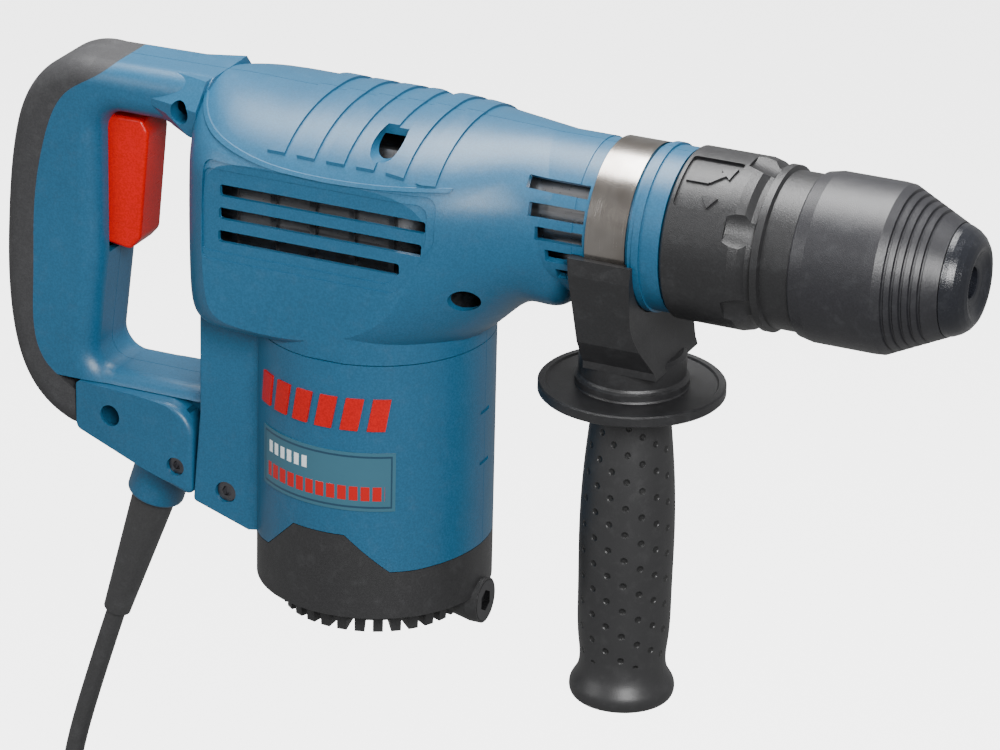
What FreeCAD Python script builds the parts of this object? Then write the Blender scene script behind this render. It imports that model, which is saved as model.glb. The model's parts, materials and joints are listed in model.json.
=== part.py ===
import FreeCAD, Part
import math
import os
from FreeCAD import Vector

# Electric demolition hammer. Lengths are in millimetres.
# Everything is drawn with X forward from the motor's axis, Y to the left of the user's
# forward view and Z up from the foot of the side grip. keep() then moves each piece so
# that the origin is the middle of the rear grip, where the hand holds the tool.

gripX = -139.0          # middle of the rear grip, from the motor's axis
gripZ = 150.0
barrelZ = 202.5         # height of the barrel's axis
wall = 3.0              # thickness of the moulded housings
seam = 0.12             # half of the gap between left and right mouldings

motorR = 47.9           # motor housing
motorTop = 140.4
capEdge = 31.3          # lower edge of the motor's end cap
podBase = 140.8         # underside of the upper housing
podHalf = 47.3          # flat sides of the upper housing
neckR = 31.3            # barrel neck
bandX = (102.1, 118.5)  # steel clamp band
bandR = 32.4
ringX = 133.2           # rear edge of the position ring
ringR = 33.7
sleeveX = 184.2         # rear edge of the locking sleeve
sleeveR = 33.1
capX = 240.3            # joint of locking sleeve and dust cap
boreR = 5.05            # hole for a slotted 10 mm shank
boreLong = 70.0
holderR = 15.0
holderEnd = 240.4

handleX = 110.4         # axis of the side grip
discZ = 136.1           # top of its guard disc
discR = 37.0

crankX = -31.25         # crankshaft axis
crankThrow = 8.0
rodLong = 60.0
pistonR = 17.0
boltR = 5.9             # front stem of the impact bolt
runGap = 0.06           # radial clearance of the running fits
toothModule = 1.25
pinionTeeth = 12
wheelTeeth = 38

cordR = 4.1             # mains cord, 4 m long
coilR = 48.0            # middle of the coil's turns
coilThick = 18.7        # radius of the wound bundle
coilX = -100.0
coilZ = -168.0
bootTilt = math.radians(18.0)

made = []


def keep(name, shape):
    shape = shape.copy()
    shape.translate(Vector(-gripX, 0, -gripZ))
    shape.exportStep("parts/" + name + ".step")
    made.append((name, len(shape.Solids), shape.isValid(), shape.Volume))


def box(x0, x1, y0, y1, z0, z1):
    return Part.makeBox(x1 - x0, y1 - y0, z1 - z0, Vector(x0, y0, z0))


def rodX(r, x0, x1, y=0.0, z=barrelZ):
    return Part.makeCylinder(r, x1 - x0, Vector(x0, y, z), Vector(1, 0, 0))


def rodY(r, y0, y1, x, z):
    return Part.makeCylinder(r, y1 - y0, Vector(x, y0, z), Vector(0, 1, 0))


def rodZ(r, z0, z1, x=0.0, y=0.0):
    return Part.makeCylinder(r, z1 - z0, Vector(x, y, z0), Vector(0, 0, 1))


def turnX(profile):
    # profile: (x, radius) pairs of a closed outline, turned about the barrel's axis
    points = [Vector(x, 0, barrelZ + r) for x, r in profile]
    face = Part.Face(Part.makePolygon(points + points[:1]))
    return face.revolve(Vector(0, 0, barrelZ), Vector(1, 0, 0), 360)


def turnZ(profile, x=0.0):
    # profile: (radius, z) pairs, turned about a vertical axis
    points = [Vector(x + r, 0, z) for r, z in profile]
    face = Part.Face(Part.makePolygon(points + points[:1]))
    return face.revolve(Vector(x, 0, 0), Vector(0, 0, 1), 360)


def smoothTurnZ(outer, bore, x=0.0):
    # outer: (radius, z) pairs from the top down, joined by one smooth curve
    curve = Part.BSplineCurve()
    curve.interpolate([Vector(x + r, 0, z) for r, z in outer])
    top, foot = outer[0], outer[-1]
    loop = [Vector(x + foot[0], 0, foot[1]), Vector(x + bore, 0, foot[1]),
            Vector(x + bore, 0, top[1]), Vector(x + top[0], 0, top[1])]
    wire = Part.Wire([curve.toShape()] + Part.makePolygon(loop).Edges)
    return Part.Face(wire).revolve(Vector(x, 0, 0), Vector(0, 0, 1), 360)


def roundedWire(corners, y=0.0):
    # corners: (x, z, radius) of a closed outline in a plane across Y
    edges = []
    ends = []
    count = len(corners)
    for i in range(count):
        before, here, after = corners[i - 1], corners[i], corners[(i + 1) % count]
        p = Vector(here[0], y, here[1])
        a = (Vector(before[0], y, before[1]) - p).normalize()
        b = (Vector(after[0], y, after[1]) - p).normalize()
        half = a.getAngle(b) / 2
        if here[2] <= 0:
            ends.append((p, p))
            continue
        reach = here[2] / math.tan(half)
        start, stop = p + a * reach, p + b * reach
        middle = p + (a + b).normalize() * (here[2] / math.sin(half) - here[2])
        edges.append(Part.Arc(start, middle, stop).toShape())
        ends.append((start, stop))
    for i in range(count):
        start, stop = ends[i][1], ends[(i + 1) % count][0]
        if start.distanceToPoint(stop) > 1e-4:
            edges.append(Part.makeLine(start, stop))
    return Part.Wire(Part.__sortEdges__(edges))


def slab(corners, y0, y1):
    face = Part.Face(roundedWire(corners, y0))
    return face.extrude(Vector(0, y1 - y0, 0))


def bothSides(shape):
    return Part.makeCompound([shape, shape.mirror(Vector(0, 0, 0), Vector(0, 1, 0))])


def halves(shape):
    near = shape.common(box(-400, 400, -200, -seam, -400, 400))
    far = shape.common(box(-400, 400, seam, 200, -400, 400))
    return near, far


# ---------------------------------------------------------------- upper housing

# x, half width, height over the axis, depth under it, squareness above and below
podSections = [
    (-70.0, 25.0, 32.0, 60.0, 2.2, 5.0),
    (-64.0, 38.0, 33.0, 61.7, 2.1, 7.0),
    (-54.0, 47.0, 33.2, 61.7, 2.1, 8.0),
    (-40.0, 50.5, 32.9, 61.7, 2.1, 8.0),
    (0.0, 50.5, 32.6, 61.7, 2.1, 7.0),
    (28.0, 49.5, 32.8, 61.7, 2.1, 3.6),
    (46.0, 46.0, 32.6, 58.0, 2.0, 2.2),
    (58.0, 41.0, 32.2, 48.0, 2.0, 2.0),
    (72.0, 35.0, 31.6, 38.5, 2.0, 2.0),
    (90.0, 30.3, 30.3, 30.3, 2.0, 2.0),
]


def podWire(section, inset):
    x, half, high, deep, above, below = section
    points = []
    steps = 32
    for i in range(steps):
        angle = 2 * math.pi * i / steps
        c, s = math.cos(angle), math.sin(angle)
        power = above if s >= 0 else below
        reach = high if s >= 0 else deep
        y = (half - inset) * math.copysign(abs(c) ** (2 / power), c)
        z = barrelZ + (reach - inset) * math.copysign(abs(s) ** (2 / power), s)
        points.append(Vector(x, y, z))
    curve = Part.BSplineCurve()
    curve.interpolate(points, PeriodicFlag=True)
    return Part.Wire(curve.toShape())


def podLoft(inset=0.0):
    sections = list(podSections)
    if inset > 0:
        sections[0] = (sections[0][0] + inset, *sections[0][1:])
    return Part.makeLoft([podWire(s, inset) for s in sections], True, False)


def podBody(inset=0.0):
    skirt = rodZ(motorR - inset, podBase - 4, 178.0 - inset)
    half = podHalf - inset
    past = 3 if inset > 0 else 0
    body = podLoft(inset).fuse(skirt).common(box(-80, 95, -half, half, podBase - past, 300))
    return body.fuse(rodX(neckR - inset, 70, ringX - 1 + past))


rearCurve = [(-120.0, 234.7), (-138.5, 230.4), (-150.2, 217.6), (-157.4, 195.0),
             (-160.8, 160.0), (-160.2, 120.0), (-153.0, 93.5), (-132.0, 75.0)]
fingerCorners = [(-40.0, 102.0, 0), (-121.5, 102.0, 9), (-116.0, 150.0, 30),
                 (-116.0, 214.0, 9), (-40.0, 214.0, 0)]


def handleFrame():
    # a C in side view: top bar, rear grip and lower bar, closed by the housings in front
    curve = Part.BSplineCurve()
    curve.interpolate([Vector(x, 0, z) for x, z in rearCurve])
    loop = [rearCurve[-1], (-52.0, 57.5), (-52.0, 235.6), rearCurve[0]]
    line = Part.makePolygon([Vector(x, 0, z) for x, z in loop])
    whole = Part.Face(Part.Wire([curve.toShape()] + line.Edges))
    half = 19.0
    solid = whole.extrude(Vector(0, 2 * half, 0))
    solid.translate(Vector(0, -half, 0))
    solid = solid.cut(slab(fingerCorners, -30, 30))
    edges = []
    for edge in solid.Edges:
        b = edge.BoundBox
        if b.YLength < 0.01 and b.XMin < -52.01 and (b.ZMax > 101 or b.XMin < -130):
            edges.append(edge)
    return solid.makeFillet(9.0, edges)


def stripZone():
    # the part of the rear grip behind this curve is soft grey rubber
    edge = [(-104.0, 246.0), (-114.5, 231.0), (-130.0, 220.6), (-140.0, 200.0), (-145.2, 170.0),
            (-146.2, 137.0), (-140.0, 101.0), (-127.0, 91.5), (-127.0, 60.0)]
    curve = Part.BSplineCurve()
    curve.interpolate([Vector(x, -30, z) for x, z in edge])
    loop = [edge[-1], (-190.0, 60.0), (-190.0, 260.0), (-104.0, 260.0), edge[0]]
    line = Part.makePolygon([Vector(x, -30, z) for x, z in loop])
    return Part.Face(Part.Wire([curve.toShape()] + line.Edges)).extrude(Vector(0, 60, 0))


coverCorners = [(-126.5, 76.2, 3), (-70.3, 57.6, 3), (-70.3, 97.0, 14), (-126.5, 97.0, 2)]
wingCorners = [(-69.7, 57.4, 2), (-20.0, 41.0, 1), (-20.0, 140.2, 0), (-66.5, 140.2, 1.5),
               (-66.5, 97.0, 4)]


def ribBand():
    # six ribs swept back down each shoulder of the upper housing
    grown = podLoft(-1.0)
    tools = []
    for i in range(6):
        foot = -27.5 + 12.7 * i
        corners = [(foot + 1.5, 0), (foot + 9.0, 0), (foot + 7.5, -43.0), (foot, -43.0)]
        points = [Vector(x, y, barrelZ + 16.5) for x, y in corners]
        face = Part.Face(Part.makePolygon(points + points[:1]))
        tools.append(face.extrude(Vector(0, 0, 38)))
    tools = tools + [t.mirror(Vector(0, 0, 0), Vector(0, 1, 0)) for t in tools]
    return [grown.common(t) for t in tools]


ventRows = [(203.2, -46.5, 41.8), (193.6, -46.9, 40.4), (184.0, -47.2, 31.0)]
neckRows = [(143.5, 75.5), (162.0, 78.0), (178.6, 81.0), (195.0, 85.0), (211.0, 88.5)]
screwPits = [(18.9, 229.6, 26.0, 5.9), (-76.4, 222.5, 12.0, 4.6), (53.4, 171.0, 27.0, 5.2)]


def slots():
    tools = []
    for z, rear, front in ventRows:
        bar = [(rear, z - 2.45, 1.2), (front, z - 2.45, 1.2), (front, z + 2.45, 1.2), (rear, z + 2.45, 1.2)]
        tools += [slab(bar, -60, -podHalf + 4.5), slab(bar, podHalf - 4.5, 60)]
    for angle, rear in neckRows:
        for side in (angle, 180 - angle):
            bar = box(rear, 100.4, 20, 50, -2.7, 2.7)
            bar.rotate(Vector(0, 0, 0), Vector(1, 0, 0), side)
            bar.translate(Vector(0, 0, barrelZ))
            tools.append(bar)
    return tools


def bead():
    # a fine raised line that parts the shoulder of the upper housing from its flat side
    line = [(-72.0, 237.0), (-63.0, 229.0), (-47.0, 222.5), (-30.0, 218.6), (50.0, 218.6)]
    curve = Part.BSplineCurve()
    curve.interpolate([Vector(x, -60, z) for x, z in line])
    lower = Part.BSplineCurve()
    lower.interpolate([Vector(x - 0.7, -60, z - 1.4) for x, z in line])
    ends = [Part.makeLine(curve.StartPoint, lower.StartPoint), Part.makeLine(curve.EndPoint, lower.EndPoint)]
    face = Part.Face(Part.Wire([curve.toShape(), ends[1], lower.toShape(), ends[0]]))
    tool = face.extrude(Vector(0, 50, 0))
    grown = podLoft(-0.7).common(box(-80, 95, -podHalf - 0.7, podHalf + 0.7, podBase, 300))
    return [grown.common(tool), grown.common(tool.mirror(Vector(0, 0, 0), Vector(0, 1, 0)))]


def panelStep():
    # the vent panel is sunk in two small steps that follow the side of the housing
    steps = []
    for depth, small in ((0.5, 0.0), (1.0, 3.2)):
        corners = [(-54.0, 215.0, 4), (45.5 - small, 215.0 - small, 5), (45.5 - small, 197.0, 8),
                   (30.0 - small, 174.0 + small, 6), (-54.0, 174.0 + small, 3)]
        corners = [(x, min(z, 215.0 - small), r) for x, z, r in corners]
        steps.append(slab(corners, -60, -25).cut(podBody(depth)))
        steps.append(steps[-1].mirror(Vector(0, 0, 0), Vector(0, 1, 0)))
    return steps


def glandBore():
    return Part.makeCylinder(12.2, 12.0, glandTip - bootWay() * 18.5, -bootWay())


def upperHousing():
    pod = podBody()
    frame = handleFrame()
    inner = frame.makeOffsetShape(-wall, 0.01)
    collar = [rodX(neckR + 1.0, 119.6, ringX - 1), rodX(neckR + 1.9, 121.6, 124.4)]
    shell = pod.fuse(collar + ribBand() + bead())
    shell = shell.cut([podBody(wall), bandSeat()] + panelStep())
    frame = frame.cut([inner, stripZone(), box(-66.8, 0, -40, 40, 0, 300)])
    lower = slab([(-140, 60, 0), (-60, 40, 0), (-60, 97.4, 0), (-140, 97.4, 0)], -40, 40)
    core = slab([(-127.2, 77.5, 2), (-71, 59.5, 2), (-71, 100.5, 0), (-127.2, 100.5, 0)], -13.5, 13.5)
    core = core.cut(slab([(-124, 80, 2), (-74, 64, 2), (-74, 94, 2), (-124, 94, 2)], -11, 11))
    frame = frame.cut(lower).fuse(core)
    rear = box(-70.3, -66.8, -19, 19, 97.6, 110).common(handleFrame())
    shell = shell.fuse([frame, rear, flare()]).cut(slots())
    for x, z, depth, r in screwPits:
        shell = shell.cut([rodY(r, -60, -depth + 4, x, z), rodY(r, depth - 4, 60, x, z)])
    slot = slab([(-124, 151.5, 2), (-112, 151.5, 2), (-112, 212.0, 2), (-124, 212.0, 2)], -9.6, 9.6)
    return shell.cut([slot, glandBore(), box(-66.4, 60, -60, 60, 0, podBase)])


def flare():
    # the top bar widens into the upper housing
    sections = []
    for x, half, low, high in ((-106.0, 15.0, 219.0, 234.6), (-84.0, 21.0, 214.5, 234.9),
                               (-67.5, 26.5, 206.0, 235.1)):
        corners = [(-half, low + 6), (5 - half, low), (half - 5, low), (half, low + 6),
                   (half, high - 10), (half - 9, high), (9 - half, high), (-half, high - 10)]
        points = [Vector(x, y, z) for y, z in corners]
        sections.append(Part.makePolygon(points + points[:1]))
    solid = Part.makeLoft(sections, True, True)
    return solid.cut([box(-110, -60, -15.9, 15.9, 217.1, 232.4), slab(fingerCorners, -40, 40)])


def bandSeat():
    seat = rodX(neckR + 5, bandX[0] - 6, 119.6)
    return seat.cut(rodX(neckR - 0.4, bandX[0] - 7, 120))


wingScrew = (-54.7, 64.0)
coverScrew = (-78.3, 70.0)


def motorShell():
    tube = rodZ(motorR, capEdge + 0.3, motorTop)
    wing = slab(wingCorners, -26, 26)
    edges = [e for e in wing.Edges if abs(e.BoundBox.YLength) < 0.01 and e.BoundBox.XMin < -25]
    wing = wing.makeFillet(1.2, edges)
    hollow = slab([(-66.5, 60, 0), (-20, 46, 0), (-20, 137, 0), (-63.5, 137, 0)], -23, 23)
    shell = tube.fuse(wing).cut([rodZ(motorR - wall, 0, 150), hollow])
    shell = shell.cut([rodY(4.6, -40, -20, wingScrew[0], wingScrew[1]),
                       rodY(4.6, 20, 40, wingScrew[0], wingScrew[1])])
    clips = [box(motorR - 0.8, motorR + 1, -4, 4, z, z + 1.6) for z in (88.0, 110.0)]
    return shell.cut(clips + [capZone(0.3)])


bossZ = 27.4            # screwed boss low on the end cap


def capZone(grow):
    # the end cap rises up the motor housing in a stepped edge, the same on both sides
    edge = [(-60, 50.0), (-43, 49.5), (-29, 52.0), (-14, 67.0), (9, 67.0), (26, 51.5), (34, 51.5),
            (60, 54.0)]
    points = [Vector(x, -60, z + grow) for x, z in edge]
    points += [Vector(60, -60, 10), Vector(-60, -60, 10)]
    face = Part.Face(Part.makePolygon(points + points[:1]))
    return face.extrude(Vector(0, 120, 0)).common(rodZ(motorR + 3, 10, 90))


def endCap():
    tube = rodZ(motorR, capEdge, 68.0).cut(rodZ(motorR - wall, capEdge + 3, 70.0))
    tube = tube.common(capZone(0.0)).cut([slab(wingCorners, -26.3, 26.3), rodZ(35.0, 30.0, 35.0)])
    rim = turnZ([(33.5, 20.5), (37.6, 20.5), (38.4, 30.6), (46.0, 32.4), (44.0, 34.3), (33.5, 34.3)])
    floor = rodZ(34, 20.5, 23.5)
    teeth = []
    for i in range(32):
        slit = box(27.0, 43.0, -1.65, 1.65, 18.0, 29.6)
        slit.rotate(Vector(0, 0, 0), Vector(0, 0, 1), 11.25 * i)
        teeth.append(slit)
    boss = rodX(9.4, 45.0, 49.8, 0, bossZ).fuse(
        Part.makeCone(6.4, 9.4, 14.1, Vector(31, 0, bossZ), Vector(1, 0, 0)))
    seat = rodZ(15.0, 22.0, 43.0).cut([rodZ(11.05, 34.0, 44.0), rodZ(5.6, 26.0, 36.0)])
    ribs = [box(14.5, 36.0, -2, 2, 23.0, 33), box(-36.0, -14.5, -2, 2, 23.0, 33)]
    body = tube.fuse([rim, floor, seat] + ribs).cut(teeth).fuse(boss)
    inside = rodZ(motorR - wall, 34.3, 70).cut(rodZ(15.0, 30, 80)).common(box(30, 44.9, -12, 12, 34, 70))
    return body.cut([rodX(8.55, 46.7, 55, 0, bossZ), rodX(4.7, 36.5, 47, 0, bossZ), inside])


def hexSocketScrew(tip, way, head, long):
    screw = Part.makeCylinder(head, 3.0, tip, way)
    screw = screw.fuse(Part.makeCylinder(head * 0.55, long, tip, way))
    hexagon = [Vector(head * 0.55 * math.cos(math.radians(a)), head * 0.55 * math.sin(math.radians(a)), 0)
               for a in range(0, 361, 60)]
    key = Part.Face(Part.makePolygon(hexagon)).extrude(Vector(0, 0, 2.2))
    key.Placement = FreeCAD.Placement(tip - way * 0.2, FreeCAD.Rotation(Vector(0, 0, 1), way))
    return screw.cut(key)


def pairY(x, z, depth, head, long):
    return [hexSocketScrew(Vector(x, -depth, z), Vector(0, 1, 0), head, long),
            hexSocketScrew(Vector(x, depth, z), Vector(0, -1, 0), head, long)]


def covers():
    plate = slab(coverCorners, -25.0, 25.0)
    edges = [e for e in plate.Edges if abs(e.BoundBox.YLength) < 0.01]
    plate = plate.makeFillet(2.4, edges)
    taper = []
    for side in (-1, 1):
        corners = [(-130, side * 30), (-130, side * 19.5), (-70, side * 26.0), (-70, side * 30)]
        points = [Vector(x, y, 0) for x, y in corners]
        taper.append(Part.Face(Part.makePolygon(points + points[:1])).extrude(Vector(0, 0, 120)))
    core = slab([(-127.4, 77.3, 2), (-70.8, 59.3, 2), (-70.8, 99, 0), (-127.4, 99, 0)], -13.7, 13.7)
    hollow = slab([(-123, 81, 2), (-74, 65, 2), (-74, 94, 2), (-123, 94, 2)], -20, 20)
    plate = plate.cut(taper + [core, hollow, glandBore()])
    plate = plate.cut([rodY(4.6, -30, -15, -110.0, 85.0), rodY(4.6, 15, 30, -110.0, 85.0)])
    x, z = coverScrew
    return plate.cut([rodY(4.0, -30, -18.0, x, z), rodY(4.0, 18.0, 30, x, z)])


# ---------------------------------------------------------------- mains cord

def bootWay():
    return Vector(-math.sin(bootTilt), 0, -math.cos(bootTilt))


glandTip = Vector(-100.9, 0, 44.0)
bootLong = 60.0


def gland():
    body = Part.makeCylinder(12.0, 28.0, glandTip, -bootWay())
    rim = max(body.Edges, key=lambda e: -e.BoundBox.ZMax)
    return body.makeFillet(1.5, [rim]).cut(Part.makeCylinder(cordR + 2.5, 29, glandTip, -bootWay()))


def boot():
    tip = glandTip + bootWay() * bootLong
    body = Part.makeCone(9.2, 5.8, bootLong - 0.3, glandTip + bootWay() * 0.3, bootWay())
    root = Part.makeCylinder(cordR + 2.4, 22, glandTip - bootWay() * 21.5, bootWay())
    return body.fuse(root), tip


def tube(route, r):
    # straight runs joined by arcs that take 0.45 of the shorter run
    edges = []
    last = route[0]
    radii = []
    for before, here, after in zip(route, route[1:], route[2:]):
        a, b = (before - here), (after - here)
        reach = 0.45 * min(a.Length, b.Length)
        a.normalize()
        b.normalize()
        half = a.getAngle(b) / 2
        start, stop = here + a * reach, here + b * reach
        radius = reach * math.tan(half)
        middle = here + (a + b).normalize() * (radius / math.sin(half) - radius)
        edges += [Part.makeLine(last, start), Part.Arc(start, middle, stop).toShape()]
        last = stop
        radii.append(round(radius, 1))
    edges.append(Part.makeLine(last, route[-1]))
    path = Part.Wire(edges)
    section = Part.Wire(Part.makeCircle(r, route[0], route[1] - route[0]))
    solid = path.makePipeShell([section], True, False)
    print("cord radii", radii, "volume ratio", round(solid.Volume / (math.pi * r * r * path.Length), 4),
          "length", round(path.Length, 1))
    return solid


def leadRoute(start):
    way = bootWay()
    return [start, start + way * 40, Vector(-142.2, 0, -88.0), Vector(-146.8, -2.0, -127.0),
            Vector(coilX - coilR - 1.5, -5.0, -160.0)]


def tailRoute():
    x = coilX - coilR - 11.0
    return [Vector(x, 6.0, coilZ + 8.0), Vector(x - 2.5, 7.0, coilZ - 22.0),
            Vector(x - 2.5, 6.0, coilZ - 50.0)]


def coil():
    return Part.makeTorus(coilR, coilThick, Vector(coilX, 0, coilZ), Vector(0, 1, 0))


def tie():
    outer, inner = coilThick + 1.6, coilThick + 0.3
    at = Vector(coilX - 4, 0, coilZ + coilR)
    band = Part.makeCylinder(outer, 8, at, Vector(1, 0, 0))
    return band.cut(Part.makeCylinder(inner, 8, at, Vector(1, 0, 0)))


def plug():
    top = tailRoute()[-1]
    way = (top - tailRoute()[-2]).normalize()
    sleeve = Part.makeCone(5.2, 8.0, 20.0, top, way)
    body = Part.makeCone(14.0, 18.5, 12.0, top + way * 19.5, way)
    rim = Part.makeCylinder(18.5, 17.0, top + way * 31.4, way)
    across = Vector(0, 1, 0).cross(way).cross(way).normalize()
    pins = [Part.makeCylinder(2.4, 19.0, top + way * 48.42 + across * side, way) for side in (-9.5, 9.5)]
    return sleeve.fuse([body, rim]), Part.makeCompound(pins)


# ---------------------------------------------------------------- trigger and switch

def trigger():
    corners = [(-119.5, 155.6, 2), (-107.0, 153.8, 3), (-102.4, 159.0, 5), (-98.4, 205.0, 5),
               (-101.5, 210.6, 3), (-119.5, 210.6, 2)]
    body = slab(corners, -9.0, 9.0)
    edges = [e for e in body.Edges if abs(e.BoundBox.YLength) < 0.01]
    return body.makeFillet(1.6, edges)


# ---------------------------------------------------------------- motor

def bearing(bore, outer, z0, z1):
    inner = turnZ([(bore, z0), (bore + 2.2, z0), (bore + 2.2, z1), (bore, z1)])
    race = turnZ([(outer - 2.2, z0), (outer, z0), (outer, z1), (outer - 2.2, z1)])
    count = 9
    middle = (bore + outer) / 2
    balls = []
    for i in range(count):
        a = 2 * math.pi * i / count
        at = Vector(middle * math.cos(a), middle * math.sin(a), (z0 + z1) / 2)
        balls.append(Part.makeSphere((outer - bore) / 2 - 2.25, at))
    return inner, Part.makeCompound([race] + balls)


def armatureCore():
    core = rodZ(24.0, 74.0, 112.0).cut(rodZ(5.0, 70, 115))
    slots = []
    for i in range(12):
        slit = box(17.0, 26.0, -1.6, 1.6, 73, 113)
        slit.rotate(Vector(0, 0, 0), Vector(0, 0, 1), 30 * i)
        slots.append(slit)
    return core.cut(slots)


def armatureWinding():
    top = turnZ([(9.0, 112.3), (21.0, 112.3), (18.0, 119.5), (9.0, 119.5)])
    foot = turnZ([(9.0, 66.0), (18.0, 66.0), (21.0, 73.7), (9.0, 73.7)])
    return Part.makeCompound([top, foot])


def commutator():
    drum = rodZ(13.0, 48.0, 64.0).cut(rodZ(5.0, 47, 65))
    gaps = []
    for i in range(24):
        slit = box(11.6, 14, -0.35, 0.35, 49.0, 63.0)
        slit.rotate(Vector(0, 0, 0), Vector(0, 0, 1), 15 * i)
        gaps.append(slit)
    return drum.cut(gaps)


def fan():
    wheel = turnZ([(5.0, 124.0), (12.0, 124.0), (12.0, 131.5), (39.5, 135.0), (39.5, 136.4), (5.0, 136.4)])
    blades = []
    for i in range(15):
        blade = box(11.5, 38.5, -0.8, 0.8, 125.5, 135.5)
        blade.rotate(Vector(11, 0, 0), Vector(0, 0, 1), 25)
        blade.rotate(Vector(0, 0, 0), Vector(0, 0, 1), 24 * i)
        blades.append(blade)
    blades = [b.common(rodZ(39.0, 120, 140)) for b in blades]
    return wheel.fuse(blades)


def gearTeeth(teeth, phase, z0, z1, bore, x=0.0):
    # short involute teeth, 20 degree pressure angle, a little play at the pitch circle
    pitch = toothModule * teeth / 2
    base = pitch * math.cos(math.radians(20))
    play = 0.10 / pitch

    def inv(angle):
        return math.tan(angle) - angle

    start = math.pi / (2 * teeth) - play + inv(math.radians(20))
    tip, root = pitch + 0.75 * toothModule, pitch - 1.05 * toothModule
    levels = [max(base, root) + (tip - max(base, root)) * k / 4 for k in range(5)]
    flank = [(r, start - inv(math.acos(min(1.0, base / r)))) for r in levels]
    if root < base:
        flank = [(root, flank[0][1])] + flank
    points = []
    for i in range(teeth):
        middle = 2 * math.pi * (i + phase) / teeth
        for r, half in flank:
            points.append(Vector(x + r * math.cos(middle - half), r * math.sin(middle - half), z0))
        for r, half in reversed(flank):
            points.append(Vector(x + r * math.cos(middle + half), r * math.sin(middle + half), z0))
    face = Part.Face(Part.makePolygon(points + points[:1]))
    solid = face.extrude(Vector(0, 0, z1 - z0))
    if bore > 0:
        solid = solid.cut(rodZ(bore, z0 - 1, z1 + 1, x))
    return solid


def statorCore():
    ring = rodZ(43.0, 76.0, 110.0).cut(rodZ(36.5, 75, 111))
    poles = []
    for side in (0, 180):
        stem = box(25.5, 38.0, -14, 14, 76, 110)
        stem.rotate(Vector(0, 0, 0), Vector(0, 0, 1), side + 90)
        poles.append(stem)
    arc = rodZ(30.0, 76, 110).common(box(-23, 23, -40, 40, 70, 120))
    body = ring.fuse(poles + [arc])
    return body.cut(rodZ(25.0, 70, 120))


def statorWinding():
    coils = []
    for side in (-1, 1):
        outer = box(-19.5, 19.5, 31.0, 35.5, 70.0, 116.0).common(rodZ(36.2, 60, 120))
        hole = box(-14.4, 14.4, 30.0, 36.5, 75.6, 110.4)
        ringed = outer.cut(hole)
        if side < 0:
            ringed = ringed.mirror(Vector(0, 0, 0), Vector(0, 1, 0))
        coils.append(ringed)
    return Part.makeCompound(coils)


def brushes():
    return Part.makeCompound([box(-3, 3, 13.15, 26.0, 52.5, 58.5), box(-3, 3, -26.0, -13.15, 52.5, 58.5)])


def brushHolders():
    parts = []
    for low, high in ((15.0, 36.0), (-36.0, -15.0)):
        case = box(-5.5, 5.5, low, high, 50.0, 61.0)
        parts.append(case.cut(box(-3.1, 3.1, low - 1, high + 1, 52.4, 58.6)))
    return Part.makeCompound(parts)


# ---------------------------------------------------------------- hammer mechanism

def gearCase():
    plan = [(-62.0, -23.0), (-50.0, -37.0), (26.0, -37.0), (40.0, -28.0), (51.0, -15.0), (51.0, 15.0),
            (40.0, 28.0), (26.0, 37.0), (-50.0, 37.0), (-62.0, 23.0)]
    inner = [(-59.0, -21.5), (-48.5, -34.0), (25.0, -34.0), (38.0, -25.5), (48.0, -13.5), (48.0, 13.5),
             (38.0, 25.5), (25.0, 34.0), (-48.5, 34.0), (-59.0, 21.5)]
    solids = []
    for outline, z0, z1 in ((plan, 152.5, 224.0), (inner, 155.5, 221.0)):
        points = [Vector(x, y, z0) for x, y in outline]
        solids.append(Part.Face(Part.makePolygon(points + points[:1])).extrude(Vector(0, 0, z1 - z0)))
    profile = [Vector(-90, -40, 150), Vector(-90, -40, 206), Vector(-90, -22, 228), Vector(-90, 22, 228),
               Vector(-90, 40, 206), Vector(-90, 40, 150)]
    gable = Part.Face(Part.makePolygon(profile + profile[:1])).extrude(Vector(180, 0, 0))
    case = solids[0].common(gable)
    low = solids[1].common(gable.translated(Vector(0, 0, -3)))
    snout = rodX(25.5, 40.0, 104.0)
    holes = [rodX(18.6, 36, 105), rodZ(9.0, 140, 160), rodZ(7.0 + runGap, 140, 160, crankX)]
    case = case.fuse(snout).cut([low] + holes)
    ribs = []
    for i in range(5):
        x = -44 + 17 * i
        ribs += [box(x - 1.2, x + 1.2, -38.6, -36.5, 158, 205), box(x - 1.2, x + 1.2, 36.5, 38.6, 158, 205)]
    return case.fuse(ribs)


def cylinderTube():
    return turnX([(-8.0, pistonR + runGap), (-8.0, 18.4), (98.0, 18.4), (98.0, pistonR + runGap)])


def piston():
    body = turnX([(10.0, 13.8), (10.0, pistonR), (64.0, pistonR), (64.0, 0.0), (58.5, 0.0), (58.5, 13.8)])
    ringGroove = turnX([(60.0, 15.4), (60.0, 18), (62.0, 18), (62.0, 15.4)])
    return body.cut([ringGroove, rodZ(3.0, barrelZ - 20, barrelZ + 20, crankX + crankThrow + rodLong)])


def wristPins():
    x = crankX + crankThrow + rodLong
    return Part.makeCompound([rodZ(3.0, barrelZ + 5.4, barrelZ + 15.8, x),
                              rodZ(3.0, barrelZ - 15.8, barrelZ - 5.4, x)])


def pistonRing():
    return turnX([(60.1, 15.5), (60.1, pistonR), (61.9, pistonR), (61.9, 15.5)])


def conRod():
    big = crankX + crankThrow
    bar = box(big + 4, big + rodLong, -4, 4, barrelZ - 3.5, barrelZ + 3.5)
    small = rodZ(4.5, barrelZ - 4, barrelZ + 4, big + rodLong)
    body = rodZ(8.0, barrelZ - 4, barrelZ + 4, big).fuse([bar, small])
    return body.cut(rodZ(4.0 + runGap, barrelZ - 10, barrelZ + 10, big))


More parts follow.
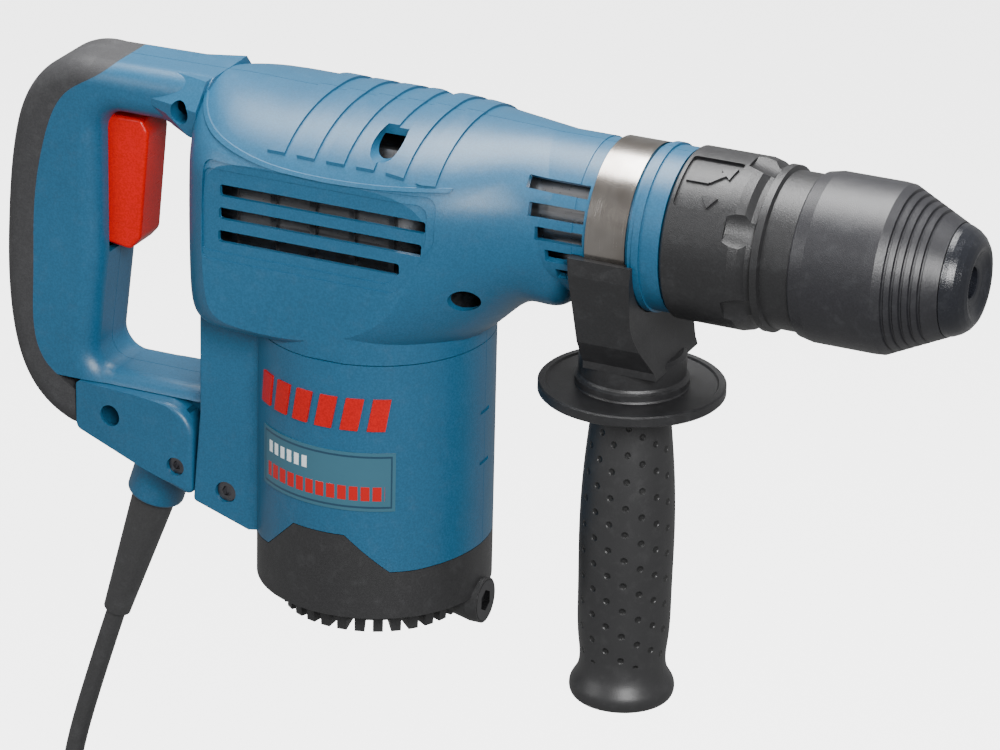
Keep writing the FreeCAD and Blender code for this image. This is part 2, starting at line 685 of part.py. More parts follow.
def crank():
    shaft = rodZ(7.0, 146.0, 178.5, crankX)
    disc = rodZ(17.0, 178.0, 185.5, crankX)
    pin = rodZ(4.0, 185.0, barrelZ + 6.0, crankX + crankThrow)
    weight = rodZ(16.9, 185.4, 192.0, crankX).common(box(crankX - 20, crankX - 5, -20, 20, 180, 200))
    return shaft.fuse([disc, pin, weight])


def striker():
    return turnX([(67.5, 0), (67.5, pistonR), (84.0, pistonR), (86.0, 15.0), (86.0, 8.0), (92.0, 7.0),
                  (93.0, 6.0), (93.0, 0)])


def impactBolt():
    return turnX([(101.0, 0), (101.0, 6.5), (113.0, 6.5), (114.0, 10.0), (134.0, 10.0), (139.0, boltR),
                  (159.0, boltR), (160.0, 5.0), (160.0, 0)])


def guideSleeve():
    return turnX([(105.0, holderR + runGap), (105.0, 27.9), (130.0, 27.9), (130.0, holderR + runGap)])


def toolHolder():
    mouth = holderEnd - boreLong
    body = turnX([(106.0, 10.0 + runGap), (106.0, holderR), (186.0, holderR), (186.0, 13.0),
                  (holderEnd, 13.0),
                  (holderEnd, boreR), (mouth, boreR), (mouth, boltR + runGap), (145.4, boltR + runGap),
                  (145.4, 10.0 + runGap)])
    flange = turnX([(131.5, holderR - 0.5), (131.5, 22.0), (134.5, 22.0), (134.5, holderR - 0.5)])
    ballHoles = rodZ(3.6, barrelZ - 15, barrelZ + 15, 204.0).cut(rodX(boreR + 2.7, 196, 212))
    return body.fuse(flange).cut(ballHoles)


def lockBalls():
    reach = boreR + 3.3 + 2.9
    return Part.makeCompound([Part.makeSphere(3.3, Vector(204.0, 0, barrelZ + reach)),
                              Part.makeSphere(3.3, Vector(204.0, 0, barrelZ - reach))])


# a line that forks into two arrows, raised in the window: x and distance round the ring
forkMarks = [
    [(136.8, -1.0, 0), (146.0, -1.0, 0), (146.0, 1.2, 0), (136.8, 1.2, 0)],
    [(144.4, 0.9, 0), (146.4, -0.7, 0), (152.0, 4.6, 0), (150.4, 6.2, 0)],
    [(148.4, 6.8, 0), (154.6, 8.8, 0), (153.2, 2.4, 0)],
    [(145.2, 1.0, 0), (145.2, -1.0, 0), (149.6, -3.6, 0), (149.6, -7.4, 0), (147.4, -7.4, 0),
     (147.4, -2.4, 0)],
    [(145.2, -6.8, 0), (151.8, -6.8, 0), (148.5, -11.2, 0)],
]


def ringTool(corners):
    # an outline pushed through the upper right of the ring, where the user looks
    tool = slab(corners, -46.0, -24.0)
    tool.rotate(Vector(0, 0, 0), Vector(1, 0, 0), -59)
    return tool.translated(Vector(0, 0, barrelZ))


def ringShell(inner, outer):
    return turnX([(134.0, inner), (158.0, inner), (158.0, outer), (134.0, outer)])


def positionRing():
    profile = [(ringX, 24.5), (ringX, ringR - 0.8), (ringX + 0.8, ringR), (160.5, ringR), (164.0, 32.8),
               (166.4, 30.6), (168.4, 30.0), (169.4, 32.4), (172.2, 32.4), (172.9, 30.6), (184.5, 30.6),
               (184.5, 27.6), (176.0, 24.5)]
    thumbs = []
    for i in range(6):
        scoop = Part.makeCone(10.2, 13.4, 11.1, Vector(157.5, 0, ringR + 8.6), Vector(1, 0, 0))
        scoop.rotate(Vector(0, 0, 0), Vector(1, 0, 0), 60 * i + 2)
        thumbs.append(scoop.translated(Vector(0, 0, barrelZ)))
    window = ringTool([(135.2, -12.5, 1.6), (156.2, -12.5, 1.6), (156.2, 12.5, 1.6), (135.2, 12.5, 1.6)])
    body = turnX(profile).cut(thumbs + [window.common(ringShell(ringR - 1.3, ringR + 6))])
    return body.fuse([ringTool(mark).common(ringShell(ringR - 1.6, ringR - 0.35)) for mark in forkMarks])


def positionCore():
    return turnX([(136.0, holderR + runGap), (136.0, 24.2), (176.0, 24.2), (176.0, holderR + runGap)])


def lockSleeve():
    outer = [(sleeveX, 31.0), (sleeveX, 31.5), (sleeveX + 0.6, 32.0), (190.0, sleeveR), (214.0, sleeveR),
             (217.8, sleeveR - 0.3)]
    steps = []
    slope = (sleeveR - 0.3 - 22.2) / (capX - 217.8)
    for i in range(5):
        x = 221.6 + 3.1 * i
        r = sleeveR - 0.3 - slope * (x - 217.8)
        steps += [(x - 0.7, r + 0.34), (x - 0.4, r - 0.75), (x + 0.3, r - 1.15), (x + 0.6, r - 0.3)]
    inner = [(capX, 22.2), (capX, 17.5), (236.0, 17.5), (213.5, 28.3), (210.0, 31.0)]
    return turnX(outer + steps + inner)


def lockRing():
    return turnX([(199.6, 14.62), (199.6, 19.0), (203.0, 19.0), (205.0, 18.4), (227.0, 18.4), (229.0, 19.0),
                  (232.0, 19.0), (232.0, 13.0 + runGap), (218.0, 13.0 + runGap), (215.0, 16.0),
                  (208.8, 16.0), (207.4, 14.62)])


def spring(radius, wire, x0, x1, turns):
    helix = Part.makeHelix((x1 - x0) / turns, x1 - x0, radius)
    section = Part.Wire(Part.makeCircle(wire / 2, Vector(radius, 0, 0), Vector(0, 1, 0)))
    coilSpring = Part.Wire(helix).makePipeShell([section], True, True)
    coilSpring.rotate(Vector(0, 0, 0), Vector(0, 1, 0), 90)
    coilSpring.translate(Vector(x0, 0, 0))
    return coilSpring


def dustCap():
    nose = [(capX + 0.3, 21.8), (242.6, 21.3), (245.2, 20.1), (247.4, 18.4), (249.0, 16.2), (249.6, 14.4),
            (249.3, 12.8), (248.2, 11.0), (247.3, 8.8), (246.9, 6.8), (246.4, 6.0)]
    skirt = [(capX + 0.3, 6.0), (capX + 0.3, 13.05), (236.0, 13.05), (236.0, 15.2), (capX + 0.3, 15.2)]
    return turnX(skirt + nose)


# ---------------------------------------------------------------- side handle

def clampBand():
    band = rodX(bandR, *bandX).cut(rodX(neckR - 0.1, 90, 130))
    return band.cut(box(90, 130, -40, 40, 100, barrelZ - 12.6))


def bracket():
    front = [(-34.8, 197.0), (-34.8, 190.0), (-27.0, 160.0), (-21.2, 150.0), (-21.2, 147.0), (21.2, 147.0),
             (21.2, 150.0), (27.0, 160.0), (34.8, 190.0), (34.8, 197.0)]
    points = [Vector(60, y, z) for y, z in front]
    cheeks = Part.Face(Part.makePolygon(points + points[:1])).extrude(Vector(100, 0, 0))
    side = slab([(96.2, 200, 1), (98.5, 142, 6), (91.0, 136.4, 0), (130.0, 136.4, 0), (128.8, 148, 8),
                 (120.6, 168, 22), (122.6, 200, 1)], -40, 40)
    collar = turnZ([(0.0, 136.4), (22.6, 136.4), (22.6, 138.6), (21.7, 139.4), (21.2, 140.4), (21.2, 148.6),
                    (19.8, 150.0), (0.0, 150.0)], handleX)
    body = cheeks.common(side).fuse(collar)
    body = body.cut([rodX(neckR + 0.15, 60, 140), rodX(neckR + 2.3, 118.9, 140)])
    band = rodX(bandR + 0.05, bandX[0] - 0.05, bandX[1] + 0.05)
    return body.cut([band, rodZ(4.05, 130, 180, handleX), box(103.5, 117.5, -9, 9, 160, 180)])


def tensionBolt():
    shank = rodZ(4.0, 92.0, 163.0, handleX)
    head = box(handleX - 6.5, handleX + 6.5, -8.5, 8.5, 162.5, 167.0)
    return shank.fuse(head)


def gripDisc():
    disc = turnZ([(7.0, 133.0), (33.0, 133.0), (34.0, 131.6), (discR - 0.6, 131.6), (discR, 132.2),
                  (discR, discZ - 0.6), (discR - 0.6, discZ), (34.0, discZ), (33.4, discZ - 0.8),
                  (22.5, discZ - 0.8), (22.0, discZ), (7.0, discZ)], handleX)
    core = turnZ([(4.1, 14.0), (11.8, 14.0), (11.8, 133.2), (4.1, 133.2)], handleX)
    return disc.fuse(core).cut(rodZ(7.6, 91.9, 98.1, handleX))


def gripRubber():
    outer = [(15.2, 132.7), (15.5, 126.0), (16.8, 112.0), (18.4, 92.0), (19.0, 70.0), (18.7, 45.0),
             (18.0, 25.0), (17.3, 16.0), (18.7, 10.0), (20.9, 6.0), (21.1, 3.0), (20.0, 0.6), (18.6, 0.0)]
    body = smoothTurnZ(outer, 12.0, handleX)
    return body.fuse(rodZ(12.4, 0.0, 13.7, handleX)).cut(rodZ(6.0, -1, 3.0, handleX))


def tensionNut():
    nut = rodZ(7.6, 92.0, 98.0, handleX)
    return nut.cut(rodZ(4.0 + runGap, 90, 100, handleX))


# ---------------------------------------------------------------- badges

def patch(r, thick, z0, z1, a0, a1, lean=0.0):
    ring = turnZ([(r, z0), (r + thick, z0), (r + thick, z1), (r, z1)])
    points = [Vector(0, 0, z0 - 1)]
    for i in range(7):
        a = math.radians(a0 + (a1 - a0) * i / 6)
        points.append(Vector(90 * math.cos(a), 90 * math.sin(a), z0 - 1))
    sector = Part.Face(Part.makePolygon(points + points[:1])).extrude(Vector(lean, 0, z1 - z0 + 2))
    return ring.common(sector)


def ratingPlate():
    plate = patch(motorR + 0.02, 0.5, 78.5, 103.5, -131.0, -55.0)
    return bothSides(plate)


def badgeBars():
    bars = []
    for i in range(6):
        a = -133.5 + 12.9 * i
        bars.append(patch(motorR + 0.02, 0.8, 113.0, 126.5, a, a + 8.6, 3.0))
    return Part.makeCompound(bars + [b.mirror(Vector(0, 0, 0), Vector(0, 1, 0)) for b in bars])


def build():
    os.makedirs("parts", exist_ok=True)
    for name, shape in (("upper_housing", upperHousing()), ("motor_housing", motorShell()),
                        ("grip_cover", covers())):
        near, far = halves(shape)
        keep(name + "_right", near)
        keep(name + "_left", far)
    keep("grip_pad", handleFrame().common(stripZone()).cut(box(-127.4, -90, -40, 40, 50, 101.0)))
    keep("motor_cap", endCap())
    keep("cap_screw", hexSocketScrew(Vector(49.9, 0, bossZ), Vector(-1, 0, 0), 8.4, 12.0))
    screws = pairY(*coverScrew, 22.9, 3.7, 4.8) + pairY(*wingScrew, 24.4, 4.3, 4.0)
    keep("housing_screws", Part.makeCompound(screws))
    keep("trigger", trigger())
    keep("trigger_spring", spring(3.2, 1.0, -126.4, -120.1, 5).translated(Vector(0, 0, 182.0)))
    switchPin = box(-128.3, -127.0, -1.5, 1.5, 180.5, 183.5)
    keep("switch_block", box(-138.0, -128.2, -9, 9, 162, 198).fuse(switchPin))
    keep("cord_gland", gland())
    sleeve, tip = boot()
    keep("cord_boot", sleeve)
    keep("cord_lead", tube(leadRoute(tip), cordR))
    keep("cord_coil", coil())
    keep("cord_tail", tube(tailRoute(), cordR))
    keep("coil_tie", tie())
    body, pins = plug()
    keep("plug_body", body)
    keep("plug_pins", pins)
    lowInner, lowOuter = bearing(5.0, 11.0, 35.0, 42.0)
    topInner, topOuter = bearing(5.0, 13.0, 142.0, 150.0)
    keep("bearing_inner_races", Part.makeCompound([lowInner, topInner]))
    keep("bearing_outer_races", Part.makeCompound([lowOuter, topOuter]))
    plateHoles = [rodZ(13.0, 142.0, 160), rodZ(9.0, 130, 160), rodZ(7.0 + runGap, 144.0, 160, crankX)]
    keep("bearing_plate", rodZ(44.1, 141.0, 152.2).cut(plateHoles))
    keep("armature_shaft", rodZ(5.0, 30.0, 167.0).fuse(gearTeeth(pinionTeeth, 0.0, 157.0, 168.0, 0)))
    keep("armature_core", armatureCore())
    keep("armature_winding", armatureWinding())
    keep("commutator", commutator())
    keep("motor_fan", fan())
    keep("stator_core", statorCore())
    keep("stator_winding", statorWinding())
    keep("brushes", brushes())
    keep("brush_holders", brushHolders())
    keep("gear_case", gearCase())
    keep("cylinder_tube", cylinderTube())
    keep("crank_wheel", gearTeeth(wheelTeeth, 0.5, 158.0, 167.0, 7.0, crankX))
    keep("crank_shaft", crank())
    keep("con_rod", conRod())
    keep("piston", piston())
    keep("piston_ring", pistonRing())
    keep("wrist_pins", wristPins())
    keep("striker", striker())
    keep("impact_bolt", impactBolt())
    keep("guide_sleeve", guideSleeve())
    keep("tool_holder", toolHolder())
    keep("lock_balls", lockBalls())
    keep("position_ring", positionRing())
    keep("position_core", positionCore())
    keep("lock_sleeve", lockSleeve())
    keep("lock_ring", lockRing())
    keep("lock_spring", spring(19.0, 1.6, 177.1, 198.7, 5.0).translated(Vector(0, 0, barrelZ)))
    keep("dust_cap", dustCap())
    keep("clamp_band", clampBand())
    keep("bracket", bracket())
    keep("tension_bolt", tensionBolt())
    keep("tension_nut", tensionNut())
    keep("grip_disc", gripDisc())
    keep("side_grip", gripRubber())
    keep("rating_plates", ratingPlate())
    keep("badge_bars", badgeBars())
    for name, count, valid, volume in made:
        print(f"{name:22s} solids {count:3d} valid {valid} volume {volume:10.1f}")


build()
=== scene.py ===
import json
import math
import bpy
from mathutils import Matrix, Vector


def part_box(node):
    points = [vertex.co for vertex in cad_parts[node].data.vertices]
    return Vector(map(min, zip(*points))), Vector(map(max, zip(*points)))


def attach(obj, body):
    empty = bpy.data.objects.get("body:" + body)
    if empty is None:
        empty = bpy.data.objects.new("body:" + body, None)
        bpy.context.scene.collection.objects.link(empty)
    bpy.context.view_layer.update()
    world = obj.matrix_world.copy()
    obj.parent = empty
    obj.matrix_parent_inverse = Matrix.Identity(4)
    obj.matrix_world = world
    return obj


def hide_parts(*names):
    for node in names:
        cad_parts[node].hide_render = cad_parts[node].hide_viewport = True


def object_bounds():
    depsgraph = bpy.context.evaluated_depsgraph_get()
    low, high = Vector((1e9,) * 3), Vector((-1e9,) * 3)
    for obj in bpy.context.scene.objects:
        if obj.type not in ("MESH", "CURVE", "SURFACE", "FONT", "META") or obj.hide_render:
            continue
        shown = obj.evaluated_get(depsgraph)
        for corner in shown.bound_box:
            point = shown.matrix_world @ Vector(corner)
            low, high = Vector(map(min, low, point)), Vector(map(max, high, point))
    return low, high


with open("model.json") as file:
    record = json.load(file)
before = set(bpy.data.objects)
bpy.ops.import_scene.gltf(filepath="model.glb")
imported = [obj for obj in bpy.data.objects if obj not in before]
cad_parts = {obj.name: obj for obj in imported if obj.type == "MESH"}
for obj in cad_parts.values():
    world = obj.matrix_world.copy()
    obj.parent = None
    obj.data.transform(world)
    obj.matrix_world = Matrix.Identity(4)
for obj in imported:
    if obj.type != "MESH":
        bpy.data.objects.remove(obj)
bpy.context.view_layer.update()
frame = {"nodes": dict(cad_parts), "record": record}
nodes = frame["nodes"]
print("frame loaded:", len(nodes), "nodes")


class Link:
    # a node socket that takes part in arithmetic, so shader maths reads as plain expressions

    def __init__(self, tree, socket):
        self.tree = tree
        self.socket = socket

    def node(self, kind, settings, inputs, output=0):
        made = self.tree.nodes.new(kind)
        for key, value in settings.items():
            if key == "stops":
                ramp = made.color_ramp
                for place, color in value[2:]:
                    ramp.elements.new(place).color = color
                ramp.elements[0].position, ramp.elements[0].color = value[0]
                ramp.elements[len(value) - 1].position, ramp.elements[len(value) - 1].color = value[1]
            else:
                setattr(made, key, value)
        for key, value in inputs.items():
            if isinstance(value, Link):
                self.tree.links.new(value.socket, made.inputs[key])
            else:
                made.inputs[key].default_value = value
        return Link(self.tree, made.outputs[output])

    def math(self, operation, *values, clamp=False):
        settings = {"operation": operation, "use_clamp": clamp}
        return self.node("ShaderNodeMath", settings, {i: v for i, v in enumerate((self,) + values)})

    def __add__(self, other):
        return self.math("ADD", other)

    def __radd__(self, other):
        return self.math("ADD", other)

    def __sub__(self, other):
        return self.math("SUBTRACT", other)

    def __rsub__(self, other):
        return (self * -1.0) + other

    def __mul__(self, other):
        return self.math("MULTIPLY", other)

    def __rmul__(self, other):
        return self.math("MULTIPLY", other)

    def __truediv__(self, other):
        return self.math("DIVIDE", other)

    def clamp(self):
        return self.math("ADD", 0.0, clamp=True)

    def ramp(self, low, high):
        # 0 below low, 1 above high, straight between
        return ((self - low) / (high - low)).clamp()

    def noise(self, scale, detail=2.0, rough=0.5):
        return self.node("ShaderNodeTexNoise", {"noise_dimensions": "3D"},
                         {"Vector": self, "Scale": scale, "Detail": detail, "Roughness": rough})

    def scaled(self, factors):
        return self.node("ShaderNodeVectorMath", {"operation": "MULTIPLY"}, {0: self, 1: factors})

    def axis(self, index):
        return self.node("ShaderNodeSeparateXYZ", {}, {0: self}, index)

    def mixed(self, low, high):
        # this value picks between two colours
        return self.node("ShaderNodeMix", {"data_type": "RGBA"}, {0: self, 6: low, 7: high}, 2)


def startMaterial(name):
    material = bpy.data.materials.new(name)
    material.use_nodes = True
    coords = material.node_tree.nodes.new("ShaderNodeTexCoord")
    return material, Link(material.node_tree, coords.outputs["Object"])


def finishMaterial(material, place, look, bump=None, depth=0.0001):
    shader = material.node_tree.nodes["Principled BSDF"]
    for key, value in look.items():
        if isinstance(value, Link):
            place.tree.links.new(value.socket, shader.inputs[key])
        else:
            shader.inputs[key].default_value = value
    if bump is not None:
        normal = place.node("ShaderNodeBump", {}, {"Strength": 1.0, "Distance": depth, "Height": bump})
        place.tree.links.new(normal.socket, shader.inputs["Normal"])
    return material


def rgba(color, gain=1.0):
    return tuple(c * gain for c in color) + (1.0,)


def moulded(name, look):
    # injection-moulded plastic or rubber: soft colour drift, fine tooth, faint rub marks
    material, place = startMaterial(name)
    drift = place.noise(look["driftScale"], 3.0)
    tooth = place.noise(look["toothScale"], 2.0, 0.6)
    rub = place.scaled((60.0, 60.0, 420.0)).noise(1.0, 4.0, 0.65).ramp(0.56, 0.72)
    dust = place.noise(150.0, 6.0, 0.7).ramp(0.52, 0.8)
    speckle = place.noise(1300.0, 1.0)
    shade = (drift.ramp(0.3, 0.7) * 0.4 + speckle.ramp(0.35, 0.65) * 0.6).mixed(rgba(look["color"], 0.82),
                                                                                 rgba(look["color"], 1.18))
    color = (dust * look["dust"]).mixed(shade, rgba(look["dustColor"]))
    rough = look["rough"] + (tooth - 0.5) * look["toothRough"] - rub * look["rubShine"] + dust * 0.05
    bump = tooth * look["tooth"] + rub * -0.1
    return finishMaterial(material, place, {"Base Color": color, "Roughness": rough,
                                            "Specular IOR Level": look["gloss"]}, bump, look["depth"])


def metal(name, look):
    # bare metal with a grain that runs along one direction
    material, place = startMaterial(name)
    grain = place.scaled(look["grain"]).noise(1.0, 3.0, 0.6)
    stainAndShade = place.scaled(look["blotch"]).noise(1.0, 3.0, 0.6)
    fine = place.noise(1800.0, 2.0)
    # random blotches blend the metal towards its second colour; on alu_case that near-black colour is
    # painted shade
    color = stainAndShade.ramp(0.35, 0.7).mixed(rgba(look["color"]), rgba(look["stainAndShade"]))
    rough = look["rough"] + (grain - 0.5) * look["spread"] + (fine - 0.5) * 0.08
    surface = {"Base Color": color, "Roughness": rough, "Metallic": look["metallic"]}
    return finishMaterial(material, place, surface, grain * 0.7 + fine * 0.3, look["depth"])


plasticLook = {"driftScale": 14.0, "toothScale": 2600.0, "tooth": 1.0, "toothRough": 0.12, "rubShine": 0.05,
               "dust": 0.05, "dustColor": (0.5, 0.52, 0.54), "gloss": 0.5, "depth": 0.00005}
looks = {
    "blue_plastic": dict(plasticLook, color=(0.013, 0.088, 0.172), rough=0.38, dust=0.02),
    "grey_rubber": dict(plasticLook, color=(0.038, 0.038, 0.040), rough=0.58, tooth=1.5, depth=0.00009,
                        gloss=0.35, dust=0.04),
    "black_plastic": dict(plasticLook, color=(0.016, 0.016, 0.017), rough=0.38, tooth=1.3, depth=0.00008,
                          dust=0.03),
    "cap_plastic": dict(plasticLook, color=(0.022, 0.022, 0.023), rough=0.44, tooth=1.3, depth=0.00008,
                        dust=0.03),
    "red_plastic": dict(plasticLook, color=(0.56, 0.002, 0.001), rough=0.30, toothRough=0.06, dust=0.004,
                        gloss=0.3,
                        dustColor=(0.9, 0.6, 0.55)),
    "black_rubber": dict(plasticLook, color=(0.018, 0.018, 0.021), rough=0.38, tooth=1.2, depth=0.00007,
                         dust=0.03),
    "cord_rubber": dict(plasticLook, color=(0.034, 0.034, 0.035), rough=0.48, dust=0.03),
    "fan_plastic": dict(plasticLook, color=(0.05, 0.05, 0.05), rough=0.5),
    "carbon": dict(plasticLook, color=(0.02, 0.02, 0.02), rough=0.6),
}
metalLook = {"metallic": 1.0, "grain": (700.0, 700.0, 700.0), "blotch": (30.0, 30.0, 30.0),
             "spread": 0.12, "depth": 0.00002}
metals = {
    "steel_band": dict(metalLook, color=(0.44, 0.41, 0.38), stainAndShade=(0.18, 0.15, 0.125), rough=0.22,
                       grain=(3200.0, 60.0, 60.0), spread=0.25),
    "steel_dark": dict(metalLook, color=(0.10, 0.10, 0.105), stainAndShade=(0.07, 0.07, 0.075), rough=0.36),
    "steel_bright": dict(metalLook, color=(0.62, 0.63, 0.65), stainAndShade=(0.52, 0.53, 0.55), rough=0.22),
    "screw_steel": dict(metalLook, color=(0.20, 0.20, 0.21), stainAndShade=(0.10, 0.10, 0.11), rough=0.3),
    # alu_case: the near-black streak colour is painted shade for the dark inside of the vent slots; the
    # pale colour is the aluminium itself
    "alu_case": dict(metalLook, color=(0.42, 0.42, 0.43), stainAndShade=(0.07, 0.07, 0.075), rough=0.30,
                     depth=0.00008,
                     blotch=(10.0, 190.0, 190.0)),
    "copper_winding": dict(metalLook, color=(0.55, 0.24, 0.11), stainAndShade=(0.36, 0.14, 0.06), rough=0.35),
    "iron_core": dict(metalLook, color=(0.32, 0.33, 0.34), stainAndShade=(0.24, 0.24, 0.26), rough=0.4,
                      grain=(60.0, 60.0, 3000.0), depth=0.00006),
    "brass_part": dict(metalLook, color=(0.68, 0.52, 0.26), stainAndShade=(0.5, 0.36, 0.16), rough=0.28),
}


def cylinderPlace(place, centre):
    # angle round an upright axis in degrees, and height
    across = place.axis(0) - centre[0]
    angle = place.axis(1).math("ARCTAN2", across) * (180.0 / math.pi)
    return angle, place.axis(2)


def stripes(value, pitch, duty):
    # 1 on the first part of each pitch, 0 on the rest
    return (value / pitch).math("FRACT").math("LESS_THAN", duty)


def between(value, low, high):
    return value.math("GREATER_THAN", low) * value.math("LESS_THAN", high)


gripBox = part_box("side_grip")
gripAxis = ((gripBox[0][0] + gripBox[1][0]) / 2, 0.0)
dimples = {"columns": 18, "pitch": 0.0111, "radius": 0.00135, "gripRadius": 0.0185, "depth": 0.0008,
           "low": gripBox[0][2] + 0.019, "high": gripBox[0][2] + 0.133}


def gripMaterial():
    material, place = startMaterial("gripRubber")
    angle, height = cylinderPlace(place, gripAxis)
    column = angle / (360.0 / dimples["columns"])
    row = height / dimples["pitch"]
    arc = 2 * math.pi * dimples["gripRadius"] / dimples["columns"]
    u = ((column + 40.0).math("FRACT") - 0.5) * arc
    v = ((row + (column + 40.0).math("FLOOR") / 3.0 + 40.0).math("FRACT") - 0.5) * dimples["pitch"]
    away = (u * u + v * v).math("SQRT")
    pits = 1.0 - away.ramp(dimples["radius"] * 0.55, dimples["radius"] * 1.1)
    pits = pits * between(height, dimples["low"], dimples["high"])
    tooth = place.noise(2400.0, 2.0)
    drift = place.noise(22.0, 3.0).ramp(0.3, 0.7)
    dust = place.noise(170.0, 6.0, 0.7).ramp(0.5, 0.8)
    # the dimple pits are painted near-black: painted shade in the recesses, on top of their bump
    color = (pits * 0.75).mixed(drift.mixed((0.020, 0.020, 0.021, 1), (0.026, 0.026, 0.027, 1)),
                                (0.005, 0.005, 0.005, 1))
    color = (dust * 0.03).mixed(color, (0.4, 0.4, 0.4, 1))
    bump = pits * -1.0 + tooth * 0.06
    return finishMaterial(material, place, {"Base Color": color, "Roughness": 0.42 + dust * 0.08}, bump,
                          dimples["depth"])


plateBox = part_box("rating_plates")
plate = {"low": plateBox[0][2], "high": plateBox[1][2]}


def plateMaterial():
    # a plain printed label: pale frame, one pale row and one red row of generic marks
    material, place = startMaterial("ratingPlate")
    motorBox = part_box("armature_core")
    angle, height = cylinderPlace(place, ((motorBox[0][0] + motorBox[1][0]) / 2, 0.0))
    turn = angle.math("ABSOLUTE")
    tall = (height - plate["low"]) / (plate["high"] - plate["low"])
    inside = between(turn, 56.5, 129.5) * between(tall, 0.05, 0.95)
    core = between(turn, 57.3, 128.7) * between(tall, 0.085, 0.915)
    pale = between(turn, 98.0, 126.0) * between(tall, 0.60, 0.80) * stripes(turn, 4.7, 0.62)
    red = between(turn, 60.0, 126.0) * between(tall, 0.18, 0.42) * stripes(turn, 5.6, 0.74)
    drift = place.noise(30.0, 3.0).ramp(0.3, 0.7)
    base = drift.mixed((0.030, 0.105, 0.150, 1), (0.036, 0.118, 0.168, 1))
    color = (inside - core).clamp().mixed(base, (0.012, 0.045, 0.08, 1))
    color = pale.mixed(color, (0.72, 0.78, 0.80, 1))
    color = red.mixed(color, (0.46, 0.004, 0.004, 1))
    return finishMaterial(material, place, {"Base Color": color, "Roughness": 0.3}, pale + red, 0.00004)


materials = {slot: moulded(slot, look) for slot, look in looks.items()}
materials.update({slot: metal(slot, look) for slot, look in metals.items()})
materials["grip_rubber"] = gripMaterial()
materials["plate_print"] = plateMaterial()
printLook = dict(looks["red_plastic"], color=(0.46, 0.004, 0.004), rough=0.35)
materials["red_print"] = moulded("red_print", printLook)
slotOf = {part["node"]: part["material_slot"] for part in frame["record"]["subparts"]}
for name, obj in nodes.items():
    for place in obj.material_slots:
        place.material = materials[slotOf[name]]
gloss = moulded("dustCap", dict(looks["black_rubber"], color=(0.012, 0.013, 0.017), rough=0.17, dust=0.03))
for place in nodes["dust_cap"].material_slots:
    place.material = gloss
print("materials done:", len(bpy.data.materials))

# mains cord: one line from the boot through the tied coil to the plug

gripX, gripZ = -0.139, 0.150     # middle of the rear grip, seen from the motor axis and the grip's foot
cord = {"diameter": 0.0082, "turns": 13, "coilRadius": 0.048, "coilX": -0.100, "coilZ": -0.168,
        "perTurn": 14, "length": 4.0, "bootTilt": math.radians(18.0)}


def fromMotor(x, y, z):
    return Vector((x - gripX, y, z - gripZ))


def cordRoute():
    way = Vector((-math.sin(cord["bootTilt"]), 0.0, -math.cos(cord["bootTilt"])))
    start = fromMotor(-0.1009, 0.0, 0.044) + way * 0.060
    lead = [start, start + way * 0.040, fromMotor(-0.1422, 0.0, -0.088), fromMotor(-0.1468, -0.002, -0.127)]
    centre = fromMotor(cord["coilX"], 0.0, cord["coilZ"])
    pitch = cord["diameter"] * 1.02
    spots = [(0.0, 0.0)]
    for ring, count in ((1, 6), (2, 6)):
        for i in range(count):
            angle = math.radians(60 * i + 30 * (ring - 1) + 15)
            reach = pitch * (1.0 if ring == 1 else 1.732)
            spots.append((reach * math.cos(angle), reach * math.sin(angle)))
    spots.sort(key=lambda s: (round(s[1] / pitch), s[0]))
    turns = []
    steps = cord["perTurn"]
    for i in range(cord["turns"] * steps + 1):
        turn, part = divmod(i, steps)
        here = spots[min(turn, len(spots) - 1)]
        after = spots[min(turn + 1, len(spots) - 1)]
        blend = max(0.0, (part / steps - 0.7) / 0.3)
        blend = blend * blend * (3 - 2 * blend)
        out = here[0] + (after[0] - here[0]) * blend
        side = here[1] + (after[1] - here[1]) * blend
        angle = math.radians(178.0) + 2 * math.pi * i / steps
        reach = cord["coilRadius"] + out
        turns.append(centre + Vector((reach * math.cos(angle), side, reach * math.sin(angle))))
    tailX = cord["coilX"] - cord["coilRadius"] - 0.011
    tail = [fromMotor(tailX - 0.0025, 0.007, cord["coilZ"] - 0.022),
            fromMotor(tailX - 0.0025, 0.006, cord["coilZ"] - 0.050)]
    return lead + turns + tail


def splinePiece(name, points, radius, order):
    curve = bpy.data.curves.new(name, "CURVE")
    curve.dimensions = "3D"
    spline = curve.splines.new("NURBS")
    spline.points.add(len(points) - 1)
    for point, place in zip(spline.points, points):
        point.co = (*place, 1.0)
    spline.order_u = order
    spline.use_endpoint_u = True
    curve.bevel_depth = radius
    curve.bevel_resolution = 5
    curve.use_fill_caps = True
    curve.resolution_u = 6
    piece = bpy.data.objects.new(name, curve)
    bpy.context.scene.collection.objects.link(piece)
    return piece


route = cordRoute()
lead = splinePiece("mainsCord", route, cord["diameter"] / 2, 3)
lead.data.materials.append(materials["cord_rubber"])
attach(lead, "housing")
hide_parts("cord_lead", "cord_coil", "cord_tail")
print("cord done")

# stage: pale floor, soft light and the camera

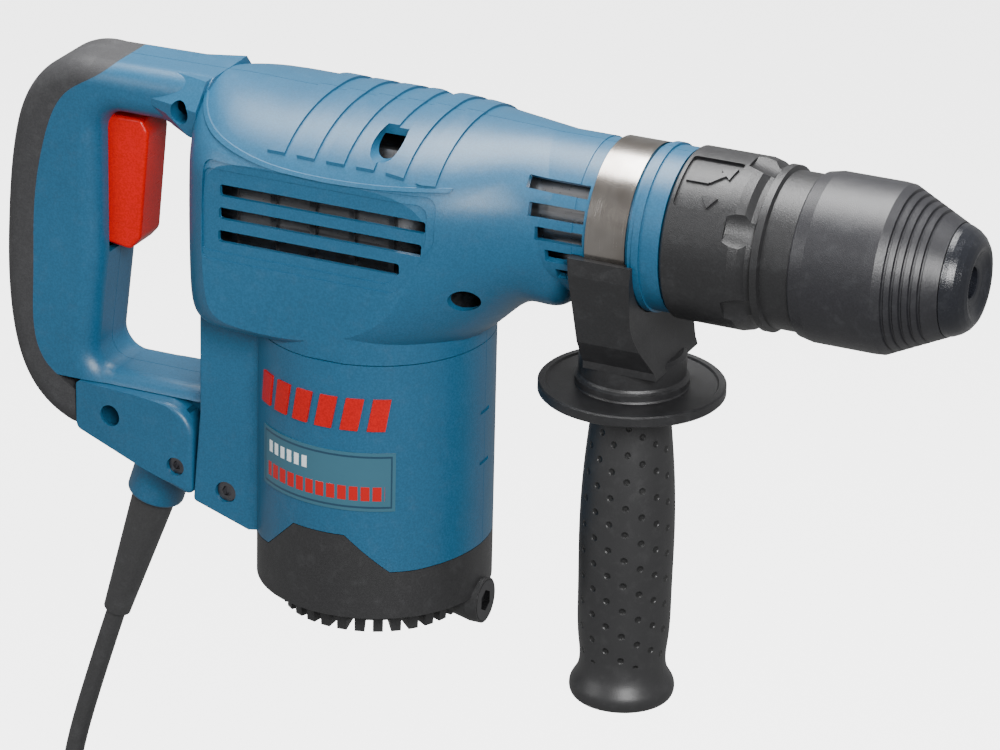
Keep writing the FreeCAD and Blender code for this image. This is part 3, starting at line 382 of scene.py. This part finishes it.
low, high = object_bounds()
stage = {"floorSize": 120.0, "floorGap": 0.012, "floorGlow": 3.0, "skyStrength": 0.38}
bpy.ops.mesh.primitive_plane_add(size=stage["floorSize"], location=(0.0, 3.0, low[2] - stage["floorGap"]))
floor = bpy.context.object
floor.name = "floor"
paleMaterial, palePlace = startMaterial("paleFloor")
finishMaterial(paleMaterial, palePlace, {"Base Color": (0.93, 0.93, 0.93, 1.0), "Roughness": 0.9,
                                         "Emission Color": (1.0, 1.0, 1.0, 1.0),
                                         "Emission Strength": stage["floorGlow"]})
floor.data.materials.append(paleMaterial)
floor.visible_diffuse = False       # seen by the camera, but throws no light on the tool from below
floor.visible_glossy = False

world = bpy.data.worlds.new("studio")
world.use_nodes = True
world.node_tree.nodes["Background"].inputs["Color"].default_value = (1.0, 1.0, 1.0, 1.0)
world.node_tree.nodes["Background"].inputs["Strength"].default_value = stage["skyStrength"]
bpy.context.scene.world = world

lamps = {
    "topSoftbox": {"at": (0.05, 0.25, 1.20), "aim": (0.15, 0.0, 0.0), "size": 0.9, "power": 46.0},
    "leftSoftbox": {"at": (-1.1, -1.3, 0.7), "aim": (0.15, 0.0, 0.0), "size": 0.8, "power": 10.0},
    "rightSoftbox": {"at": (1.1, -1.2, 0.9), "aim": (0.35, 0.0, -0.05), "size": 0.7, "power": 44.0},
}
for name, lamp in lamps.items():
    light = bpy.data.lights.new(name, "AREA")
    light.shape = "SQUARE"
    light.size = lamp["size"]
    light.energy = lamp["power"]
    obj = bpy.data.objects.new(name, light)
    obj.location = lamp["at"]
    obj.rotation_euler = (Vector(lamp["aim"]) - Vector(lamp["at"])).to_track_quat("-Z", "Y").to_euler()
    bpy.context.scene.collection.objects.link(obj)

shot = {"target": fromMotor(0.05395, 0.0, 0.12709), "azimuth": 23.97, "elevation": 23.13, "roll": 1.33,
        "distance": 1.91348, "lens": 174.28}
azimuth, elevation = math.radians(shot["azimuth"]), math.radians(shot["elevation"])
back = Vector((math.sin(azimuth) * math.cos(elevation), -math.cos(azimuth) * math.cos(elevation),
               math.sin(elevation)))
camera = bpy.data.objects.new("camera", bpy.data.cameras.new("camera"))
camera.data.lens = shot["lens"]
camera.data.clip_end = 200.0
turned = back.to_track_quat("Z", "Y").to_matrix() @ Matrix.Rotation(math.radians(shot["roll"]), 3, "Z")
camera.matrix_world = Matrix.Translation(shot["target"] + back * shot["distance"]) @ turned.to_4x4()
bpy.context.scene.collection.objects.link(camera)
bpy.context.scene.camera = camera
print("stage done")
